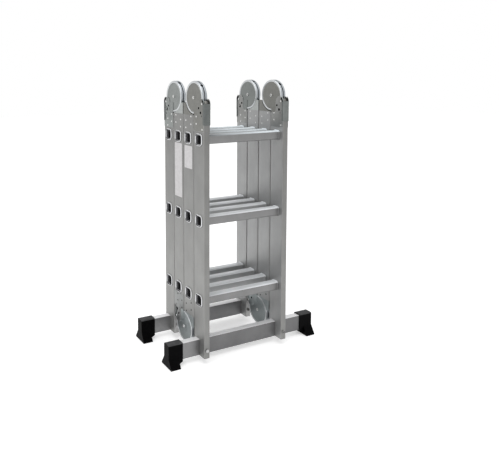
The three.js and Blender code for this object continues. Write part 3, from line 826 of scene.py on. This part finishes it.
def make_bolt(section, side):
    node = f"{section}_{side}_bar_bolt"
    low, high = measure(node)
    centre = (low + high) / 2
    reach = high.y - centre.y
    rim, head_end = BOLT_HEAD_RADIUS, reach - BOLT_HEAD_HEIGHT
    dome = [(0, reach), (3.4, reach), (5.6, reach - 0.6), (rim, reach - 2.2), (rim, head_end), (0, head_end)]
    # The hex socket takes painted shade.
    socket = painted(hexagon(3.2, reach - 3.4, reach + 1), BOLT_SOCKET)
    head = carved(spun(dome, 24, closed=False), socket)
    shank = rod(0, 0, BOLT_RADIUS, -reach + 3, reach - 3)
    nut = hexagon(BOLT_HEAD_RADIUS, -reach, -reach + BOLT_HEAD_HEIGHT)
    shape = together(head, shank, nut)
    facing = Matrix.Rotation(math.pi, 4, "X") if side == "left" else Matrix.Identity(4)
    moved(shape, TO_METRES @ Matrix.Translation(centre) @ ALONG_Y.inverted() @ facing)
    # The right bolts take a darker painted-shade zinc.
    finish = BOLT_METAL if side == "left" else SHADED_BOLT_METAL
    make_piece(f"{node}_set", shape, [finish, RECESS_SHADE], section, [node])


# Hinges. X runs from the axis to the plates' stile, Y away from the stiles and Z across
# the stile's thickness, with 0 at the axis and at the middle of the stile.

def hinge_matrix(name, side):
    hinge = HINGES[name]
    low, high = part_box(f"{name}_{side}_axle")
    centre = (low + high) / 2
    turn = Matrix((
        (0, 0, SIDES[side]),
        (hinge["lock"], 0, 0),
        (0, hinge["up"], 0),
    ))
    return Matrix.Translation(centre) @ turn.to_4x4() @ TO_METRES


def disc_shell():
    """A dished disc: a flat face, a groove, and a rolled rim with a fine line round its edge. The rim's
    crown carries a painted highlight and its side band a painted sheen.
    """
    face = HALF_STILE - DISC_FACE_RECESS
    inside = HALF_STILE - SHELL_THICKNESS
    crown = 3.9
    edge, groove = DISC_RADIUS, DISC_FACE_RADIUS
    profile = [
        (AXLE_RADIUS + GAP, inside), (AXLE_RADIUS + GAP, face),
        (groove - 1.6, face), (groove - 1.1, face - 0.7),
        (groove - 0.2, face - 0.7), (groove + 0.2, face - 0.1),
        *arc(edge - crown, HALF_STILE - crown, crown, 125, 4, 9),
        (edge, 5.2), (edge - 0.3, 4.9), (edge - 0.3, 4.6), (edge, 4.3),
        (edge, SHELL_INNER + 0.25), (edge - 0.3, SHELL_INNER),
        (edge - 3.4, SHELL_INNER), (edge - 3.8, SHELL_INNER + 0.8), (edge - 3.8, inside),
    ]
    shell = spun(profile, 96)
    # The rim's side band takes a painted sheen and its crown a painted highlight.
    for made in shell.faces:
        middle = made.calc_center_median()
        radius = math.hypot(middle.x, middle.y)
        if radius > edge - 1.6 and middle.z < HALF_STILE - 2.2:
            made.material_index = PLATE_RIM_EDGE
        elif radius > groove - 0.3:
            made.material_index = PLATE_RIM
    return shell


# The cut faces of these holes and slots take painted shade.
def slot_cutter(x, y, radius, start, end, half_width):
    """A curved slot through the plates, as a band between two arcs."""
    outline = arc(x, y, radius + half_width, start, end, 8)
    outline += arc(x, y, radius - half_width, end, start, 8)
    return slab(outline, 0, CUT_DEPTH, material=PLATE_RECESS)


def hole_cutter(x, y, radius):
    return rod(x, y, radius, 0, CUT_DEPTH, material=PLATE_RECESS)


def pivot_place(lever):
    return FAR_EDGE + GAP - lever["inset"] - lever["pivot_to_edge"]


def pivot_hole(lever):
    return rod(pivot_place(lever), -PIVOT_DROP, PIVOT_RADIUS + GAP, 0, CUT_DEPTH)


def plate_cutters(hinge):
    """Tools for a plate's holes. The front top hinges have no spring slot."""
    cutters = [hole_cutter(*place) for place in PLATE_HOLES]
    cutters.append(pivot_hole(hinge["lever"]))
    if hinge["spring_slot"]:
        cutters.append(slot_cutter(*SPRING_SLOT))
    cutters.append(hole_cutter(*hinge["small_hole"]))
    return cutters


def lobe_place(lever):
    return FAR_EDGE - lever["inset"] - LOBE_TO_EDGE - LOBE_RADIUS


def plate_neck(lobe_x, lobe):
    """The thick part between the disc's shell and the ear."""
    outline = [
        (NEAR_EDGE + 4, NECK_END), (lobe_x + LOBE_RADIUS, NECK_END), *lobe,
        (NEAR_EDGE, -LOBE_DROP), (NEAR_EDGE, NECK_END + 4),
    ]
    return slab(outline, HALF_STILE - SHELL_THICKNESS, EAR_INNER)


def plate_ear(lobe_x, lobe):
    """The thin ear on the stile's face, with a painted highlight on its softened edge."""
    outline = [
        (NEAR_EDGE, STILE_END - EAR_LENGTH), (FAR_EDGE, STILE_END - EAR_LENGTH),
        (FAR_EDGE, NECK_END), (lobe_x + LOBE_RADIUS, NECK_END), *lobe,
        *arc(lobe_x - LOBE_RADIUS - EAR_FILLET, STILE_END + 12, EAR_FILLET, 0, -50, 8),
        (NEAR_EDGE + 4.5, NECK_END + 0.4), (NEAR_EDGE + 4.5, NECK_END - 3.5),
        (NEAR_EDGE, NECK_END - 3.5),
    ]
    ear = slab(outline, EAR_INNER, EAR_OUTER, soften=0.5)
    for face in ear.faces:
        on_the_edge = 0.1 < abs(face.normal.z) < 0.95
        face.material_index = PLATE_EDGE_HIGHLIGHT if on_the_edge else PLATE_EAR
    return ear


def pivot_boss(lever):
    """A low ring round the lever's pivot."""
    bore, low, high = PIVOT_RADIUS + GAP, EAR_OUTER - 0.2, EAR_OUTER + 0.15
    ring = spun([(bore, low), (6.6, low), (6.2, high), (bore, high)], 32)
    return moved(ring, shift(pivot_place(lever), -PIVOT_DROP, 0))


def lock_plate(hinge, near):
    """One pressed plate, near being +1 on the side that the notch leans to and -1 on the other."""
    lever, angle = hinge["lever"], hinge["notch_angle"]
    lobe_x = lobe_place(lever)
    lobe = arc(lobe_x, -LOBE_DROP, LOBE_RADIUS, 0, 180, 28)
    # The notch's cut faces take painted shade.
    notch = rod(0, 0, NOTCH_RADIUS, DISC_RADIUS - 9, DISC_RADIUS + 3, material=PLATE_RECESS)
    aim = Matrix.Rotation(math.radians(angle), 4, "Z") @ Matrix.Rotation(math.pi / 2, 4, "Y")
    moved(notch, shift(0, 0, near * NOTCH_LEAN) @ aim)
    # A thin dark wall at the notch's bottom, painted shade.
    shade_wall_arc = arc(0, 0, NOTCH_FLOOR_RADIUS + 1, angle - 9, angle + 9, 6)
    shade_wall_arc += arc(0, 0, NOTCH_FLOOR_RADIUS, angle + 9, angle - 9, 6)
    notch_shade_wall = slab(shade_wall_arc, SHELL_INNER + 0.1, 8, material=PLATE_RECESS)
    # A dark sheet just inside the shell behind the holes, painted shade.
    shade_sheet_top = HALF_STILE - SHELL_THICKNESS
    shade_sheet = slab(
        [(24, -70), (66, -70), (66, -30), (54, -14), (24, -20)],
        shade_sheet_top - 0.9, shade_sheet_top - 0.1, material=PLATE_RECESS,
    )
    shell = carved(disc_shell(), notch, *plate_cutters(hinge))
    flat_parts = (plate_neck(lobe_x, lobe), plate_ear(lobe_x, lobe))
    pressed = [carved(part, *plate_cutters(hinge)) for part in flat_parts]
    return together(shell, *pressed, pivot_boss(lever), carved(shade_sheet, pivot_hole(lever)), notch_shade_wall)


def make_lock_plates(name, side):
    hinge = HINGES[name]
    for place, sign in (("outer", 1), ("inner", -1)):
        node = f"{name}_{side}_{place}_plate"
        shape = lock_plate(hinge, sign * (1 if side == "left" else -1))
        moved(shape, hinge_matrix(name, side) @ Matrix.Diagonal((1, 1, sign, 1)))
        materials = [PLATE_STEELS[name][side], RIM_HIGHLIGHT_STEEL, RECESS_SHADE, RIM_EDGE_SHEEN_STEEL, EDGE_HIGHLIGHT_STEEL]
        materials.append(EAR_STEELS[name][side])
        make_piece(
            f"{node}_pressing", shape, materials,
            hinge["lock_body"], [node],
        )


def make_axle(name, side):
    """A rivet with a domed head that is dimpled in the middle, on both faces."""
    node = f"{name}_{side}_axle"
    low, high = measure(node)
    reach = (high.x - low.x) / 2
    seat = HALF_STILE + GAP - DISC_FACE_RECESS
    half = [(0, reach - 2.4), (2.4, reach - 2.4), (3.2, reach - 0.35), (3.9, reach), (4.8, reach - 0.2)]
    half += [(5.6, reach - 0.8), (6.6, seat + 0.15), (6.6, seat), (AXLE_RADIUS, seat)]
    profile = half + [(radius, -height) for radius, height in reversed(half)]
    shape = spun(profile, 32, closed=False)
    # The dimple takes painted shade and the ring of the dome round it a painted highlight.
    for face in shape.faces:
        middle = face.calc_center_median()
        radius = math.hypot(middle.x, middle.y)
        if abs(middle.z) > seat and radius < 2.6:
            face.material_index = AXLE_RECESS
        elif abs(middle.z) > seat and radius < 5.3:
            face.material_index = AXLE_RING
    moved(shape, hinge_matrix(name, side))
    make_piece(
        f"{node}_rivet", shape, [PLATE_STEELS[name][side], AXLE_RING_HIGHLIGHT_METAL, RECESS_SHADE],
        HINGES[name]["lock_body"], [node],
    )


def lever_section(bm):
    """Draws the edges of a channel's U section in the XY plane: X is outwards and Y across."""
    half, wing, steel = LEVER_HALF_WIDTH, LEVER_WING, LEVER_STEEL
    corners = [
        (-wing, half), (0, half), (0, -half), (-wing, -half),
        (-wing, steel - half), (-LEVER_WEB, steel - half), (-LEVER_WEB, half - steel), (-wing, half - steel),
    ]
    verts = [bm.verts.new((x, y, 0)) for x, y in corners]
    bm.faces.new(verts)
    round_off(bm, verts[1:3], 3.0, 5, affect="VERTICES")
    inner = [v for v in bm.verts if abs(v.co.x + LEVER_WEB) < TINY]
    round_off(bm, inner, 1.8, 5, affect="VERTICES")
    bmesh.ops.delete(bm, geom=list(bm.faces), context="FACES_ONLY")


def lever_channel(lever):
    """The U section swept up the stile's edge and round the lobe."""
    lobe_x, lobe_y = lobe_place(lever), -LOBE_DROP
    outwards = shift(LEVER_RADIUS, 0, 0)
    stations = [(lobe_y - lever["length"], 0)]
    stations += [(lobe_y, lever["top_angle"] * i / 8) for i in range(9)]
    whole = bmesh.new()
    carrier = bpy.data.meshes.new("lever_section")
    template = bmesh.new()
    lever_section(template)
    template.to_mesh(carrier)
    template.free()
    loops = []
    for y, angle in stations:
        before = set(whole.edges)
        whole.from_mesh(carrier)
        edges = [e for e in whole.edges if e not in before]
        verts = list({v for e in edges for v in e.verts})
        turn = Matrix.Rotation(math.radians(angle), 4, "Z")
        place = shift(lobe_x, y, 0) @ turn @ outwards @ Y_TO_Z
        bmesh.ops.transform(whole, matrix=place, verts=verts)
        loops.append(edges)
    bpy.data.meshes.remove(carrier)
    for first, second in zip(loops, loops[1:]):
        bmesh.ops.bridge_loops(whole, edges=first + second)
    for edges in (loops[0], loops[-1]):
        bmesh.ops.edgeloop_fill(whole, edges=edges)
    bmesh.ops.recalc_face_normals(whole, faces=whole.faces)
    return whole


def lever_corner(end_y, sign):
    """A tool that rounds one lower corner of a lever's web and wing, drawn across and laid along X."""
    reach, end = LEVER_HALF_WIDTH, end_y + LEVER_CORNER
    outline = [(reach + 1, end_y - 1), (reach + 1, end)]
    outline += arc(reach - LEVER_CORNER, end, LEVER_CORNER, 0, -90, 8)
    outline += [(reach - LEVER_CORNER, end_y - 1)]
    across = Matrix(((0, 0, 1, 0), (0, 1, 0, 0), (sign, 0, 0, 0), (0, 0, 0, 1)))
    return moved(slab(outline, 0, 90), across)


def curved_band(outer, inner, start, end, steps):
    """The outline of a band round the lobe's centre."""
    return arc(0, 0, outer, start, end, steps) + arc(0, 0, inner, end, start, steps)


def make_channel(lever, on_the_lobe):
    """The lever's channel, with its window, and with painted shade on the window's cut and on the faces
    inside.
    """
    web, top = LEVER_RADIUS, lever["top_angle"]
    mouth = curved_band(web + 3, web - 9, top * 0.12, top + 6, 10)
    window = moved(slab(mouth, -10.4, 10.4, material=LEVER_RECESS), on_the_lobe)
    corners = [lever_corner(-LOBE_DROP - lever["length"], sign) for sign in (1, -1)]
    channel = carved(lever_channel(lever), window, *corners)
    centre = on_the_lobe.translation
    for face in channel.faces:
        middle = face.calc_center_median()
        inward = face.normal.z * middle.z < 0 and abs(face.normal.z) > 0.7
        if inward or math.hypot(middle.x - centre.x, middle.y - centre.y) < web - LEVER_WEB + 0.1:
            face.material_index = LEVER_RECESS
    return channel


def make_pawl(lever):
    """The flat pawl, from its nose at the disc's rim past the pivot to the channel's web."""
    angle = math.radians(PAWL_NOSE_ANGLE)
    nose = PAWL_NOSE_PLACE * math.cos(angle), PAWL_NOSE_PLACE * math.sin(angle)
    pivot_x = pivot_place(lever)
    web_x = lobe_place(lever) + LEVER_RADIUS
    outline = [
        *arc(*nose, PAWL_NOSE_RADIUS, 150, 330, 8),
        (pivot_x, -PIVOT_DROP - 5), (web_x - 1.5, -PIVOT_DROP - 5),
        (web_x - 2.5, -PIVOT_DROP), (pivot_x, -PIVOT_DROP + 5),
    ]
    return slab(outline, -PAWL_HALF_THICKNESS, PAWL_HALF_THICKNESS, soften=0.3)


def make_pivot_pin(lever):
    """A pin across the channel, with a small domed head on both faces."""
    end = LEVER_HALF_WIDTH - 0.05
    half = [(0, end), (2.2, end), (3.2, end - 0.5), (3.6, end - 1.1)]
    half += [(3.6, end - 1.2), (PIVOT_RADIUS, end - 1.2)]
    profile = half + [(radius, -height) for radius, height in reversed(half)]
    pin = spun(profile, 24, closed=False, material=LEVER_PIN)
    return moved(pin, shift(pivot_place(lever), -PIVOT_DROP, 0))


def make_lever(name, side):
    hinge = HINGES[name]
    lever = hinge["lever"]
    node = f"{name}_{side}_release_lever"
    on_the_lobe = shift(lobe_place(lever), -LOBE_DROP, 0)
    channel = make_channel(lever, on_the_lobe)
    head = curved_band(LEVER_RADIUS - 5.5, LEVER_RADIUS - 12, lever["top_angle"] - 14, -12, 8)
    pawl_head = moved(slab(head, -6, 6, soften=0.5, material=LEVER_PAWL_HEAD), on_the_lobe)
    shape = together(channel, make_pawl(lever), pawl_head, make_pivot_pin(lever))
    moved(shape, hinge_matrix(name, side))
    make_piece(
        f"{node}_channel", shape, [LEVER_STEELS[side], RECESS_SHADE, RIVET_METAL, PLATE_STEELS[name][side]],
        f"{hinge['lever_body']}_{side}_lever", [node],
    )


# Rivets through the stiles and the hinges, as X and Y on a hinge

RIVET_RADIUS = 3.1
RIVET_HEIGHT = 1.35
LOCK_RIVETS = [(13, -65), (13, -92), (43, -83), (43, -108)]
FRONT_LOCK_RIVETS = [(20, -64), (20, -89), (58, -106)]
TONGUE_RIVETS = [(-18, -66), (-18, -93), (-53, -81), (-53, -107)]


def rivet(x, y, face):
    """A domed head on a face at this height."""
    profile = [
        (0, face + RIVET_HEIGHT), (RIVET_RADIUS * 0.45, face + RIVET_HEIGHT * 0.93),
        (RIVET_RADIUS * 0.8, face + RIVET_HEIGHT * 0.6),
        (RIVET_RADIUS, face), (RIVET_RADIUS, face - 0.4), (0, face - 0.4),
    ]
    return moved(spun(profile, 16, closed=False), shift(x, y, 0))


def make_rivets(name, side):
    hinge = HINGES[name]
    lock_places = FRONT_LOCK_RIVETS if name == "front_top_hinge" else LOCK_RIVETS
    groups = (
        ("lock", lock_places, EAR_OUTER, hinge["lock_body"]),
        ("tongue", TONGUE_RIVETS, HALF_STILE, hinge["tongue_body"]),
    )
    for label, places, face, body in groups:
        heads = []
        for sign in (1, -1):
            for x, y in places:
                heads.append(moved(rivet(x, y, face), Matrix.Diagonal((1, 1, sign, 1))))
        shape = moved(together(*heads), hinge_matrix(name, side))
        # The bottom hinge's rivets take a near black painted-shade copy.
        finish = SHADED_RIVET_METAL if name == "bottom_hinge" else RIVET_METAL
        make_piece(f"{name}_{side}_{label}_rivets", shape, [finish], body)


# Blank stickers on the outer faces of two left stiles, as their lower and upper end

STICKERS = {"rear_inner_section": (556, 753), "front_inner_section": (670, 750)}
STICKER_WIDTH = 53
STICKER_CORNER = 3
STICKER_THICKNESS = 0.2


def make_sticker(section):
    bottom, top = STICKERS[section]
    low, high = measure(f"{section}_left_stile")
    middle = (low.y + high.y) / 2
    outline = (STICKER_WIDTH, top - bottom, STICKER_CORNER)
    sheet = lofted([(0, *outline), (STICKER_THICKNESS, *outline)], closed=False)
    stand = shift(low.x - 0.25, middle, (top + bottom) / 2)
    moved(sheet, TO_METRES @ stand @ ALONG_X)
    make_piece(f"{section}_blank_sticker", sheet, [STICKER], section)


# Camera, light and floor

CAMERA_PLACE = (-1.1498, -1.7155, 0.9938)
CAMERA_YAW = 0.4290
CAMERA_PITCH = -0.0822
CAMERA_ROLL = 0.0109
CAMERA_LENS = 39.81
CAMERA_SHIFT = (0.2261, -0.2174)
SENSOR_WIDTH = 36

# Each softbox as its place, its size and its power
LIGHT_AIM = (0, 0, 0.5)
SOFTBOXES = {
    "top_softbox": ((-0.4, -0.5, 2.6), (2.4, 2.4), 26),
    "left_softbox": ((-2.6, -0.9, 1.4), (1.6, 2.0), 9),
}
WHITE = (1, 1, 1, 1)
AMBIENT_STRENGTH = 0.82
FLOOR_REACH = 12
FLOOR_DROP = 0.0005
FLOOR_GLOW = 0.42


def make_camera():
    data = bpy.data.cameras.new("photo_camera")
    data.lens = CAMERA_LENS
    data.sensor_width = SENSOR_WIDTH
    data.shift_x, data.shift_y = CAMERA_SHIFT
    camera = in_scene("photo_camera", data)
    camera.location = CAMERA_PLACE
    camera.rotation_euler = (math.pi / 2 + CAMERA_PITCH, CAMERA_ROLL, -CAMERA_YAW)
    bpy.context.scene.camera = camera


def make_lamp(name, place, size, power):
    data = bpy.data.lights.new(name, "AREA")
    data.shape = "RECTANGLE"
    data.size, data.size_y = size
    data.energy = power
    lamp = in_scene(name, data)
    lamp.location = place
    lamp.rotation_euler = (Vector(LIGHT_AIM) - Vector(place)).to_track_quat("-Z", "Y").to_euler()


def show_directly(tree, lighting, shown, output):
    """Lights with one shader, and shows the other to the camera and in mirrors or glass."""
    path = add_node(tree, "ShaderNodeLightPath")
    total = blend(tree, path.outputs["Is Camera Ray"], path.outputs["Is Glossy Ray"], "MAXIMUM")
    directly = blend(tree, total, path.outputs["Is Transmission Ray"], "MAXIMUM")
    mix = add_node(tree, "ShaderNodeMixShader")
    for number, source in enumerate((directly, lighting.outputs[0], shown.outputs[0])):
        tree.links.new(source, mix.inputs[number])
    tree.links.new(mix.outputs[0], output.inputs["Surface"])


def make_world():
    world = bpy.data.worlds.new("white_studio")
    world.use_nodes = True
    tree = world.node_tree
    tree.nodes.clear()
    ambient = add_node(tree, "ShaderNodeBackground", Color=WHITE, Strength=AMBIENT_STRENGTH)
    backdrop = add_node(tree, "ShaderNodeBackground", Color=WHITE, Strength=1.0)
    show_directly(tree, ambient, backdrop, add_node(tree, "ShaderNodeOutputWorld"))
    bpy.context.scene.world = world


def make_floor():
    bm = bmesh.new()
    bmesh.ops.create_grid(bm, x_segments=1, y_segments=1, size=FLOOR_REACH)
    floor = as_object("floor", bm)
    floor.location = (0, 0, -FLOOR_DROP)
    material, tree, shader = start_material("pale_floor", 0.0, 0.9)
    shader.inputs["Base Color"].default_value = (0.86, 0.86, 0.86, 1)
    shader.inputs["Specular IOR Level"].default_value = 0.1
    glow = add_node(tree, "ShaderNodeEmission", Color=WHITE, Strength=FLOOR_GLOW)
    shown = add_node(tree, "ShaderNodeAddShader")
    tree.links.new(shader.outputs[0], shown.inputs[0])
    tree.links.new(glow.outputs[0], shown.inputs[1])
    show_directly(tree, shader, shown, tree.nodes["Material Output"])
    floor.data.materials.append(material)


make_camera()
make_world()
make_floor()
for lamp_name, (place, size, power) in SOFTBOXES.items():
    make_lamp(lamp_name, place, size, power)
bpy.context.scene.view_settings.view_transform = "Standard"

for section_name in SECTIONS:
    for side_name in SIDES:
        make_stile(section_name, side_name)
    for rung_name in RUNGS:
        make_rung(section_name, rung_name)
for section_name in ("front_section", "rear_section"):
    make_bar(section_name)
    for side_name in SIDES:
        make_foot(section_name, side_name)
        make_bolt(section_name, side_name)
for hinge_name in HINGES:
    for side_name in SIDES:
        make_lock_plates(hinge_name, side_name)
        make_axle(hinge_name, side_name)
        make_lever(hinge_name, side_name)
        make_rivets(hinge_name, side_name)
        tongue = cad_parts[f"{hinge_name}_{side_name}_tongue"]
        tongue.data.materials.clear()
        tongue.data.materials.append(TONGUE_STEELS[hinge_name])
for section_name in STICKERS:
    make_sticker(section_name)
